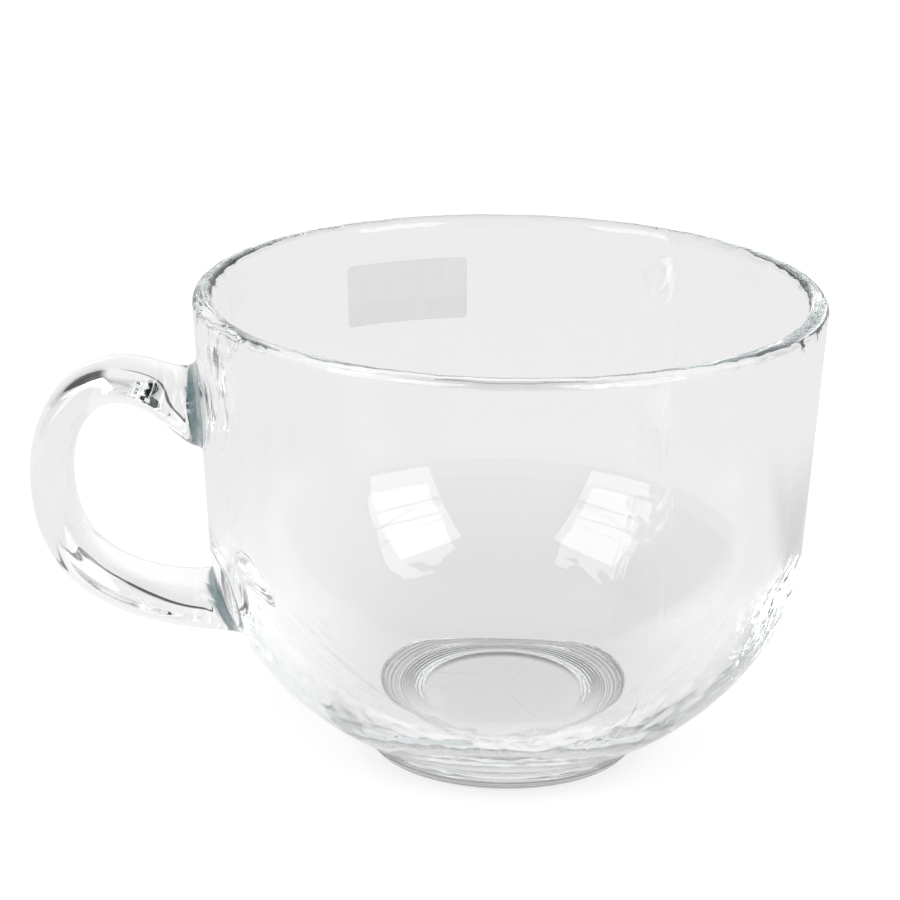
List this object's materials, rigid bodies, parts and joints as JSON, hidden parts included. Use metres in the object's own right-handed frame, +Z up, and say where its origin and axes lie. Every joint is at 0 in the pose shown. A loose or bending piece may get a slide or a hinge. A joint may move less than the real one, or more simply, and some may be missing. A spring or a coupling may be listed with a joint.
{
  "type": "glass mug",
  "caption": "Wide clear glass mug with a straight wall, rounded belly, low ring foot, ear-shaped side handle and a small blank film label.",
  "frame": {"origin": "on the bowl's axis in the plane that the foot ring stands on, 0.8 mm under the flat middle of the underside", "axes": "+Z up along the bowl's axis, -X towards the handle, +Y towards the labelled side"},
  "size_m": [0.1389, 0.11, 0.0842],
  "materials": {
    "bowl_glass": "clear polished soda-lime glass",
    "handle_glass": "clear polished soda-lime glass",
    "label_film": "translucent pale grey film"
  },
  "bodies": {
    "root": {"bowl": "bowl_glass", "handle": "handle_glass", "label": "label_film"}
  },
  "joints": []
}
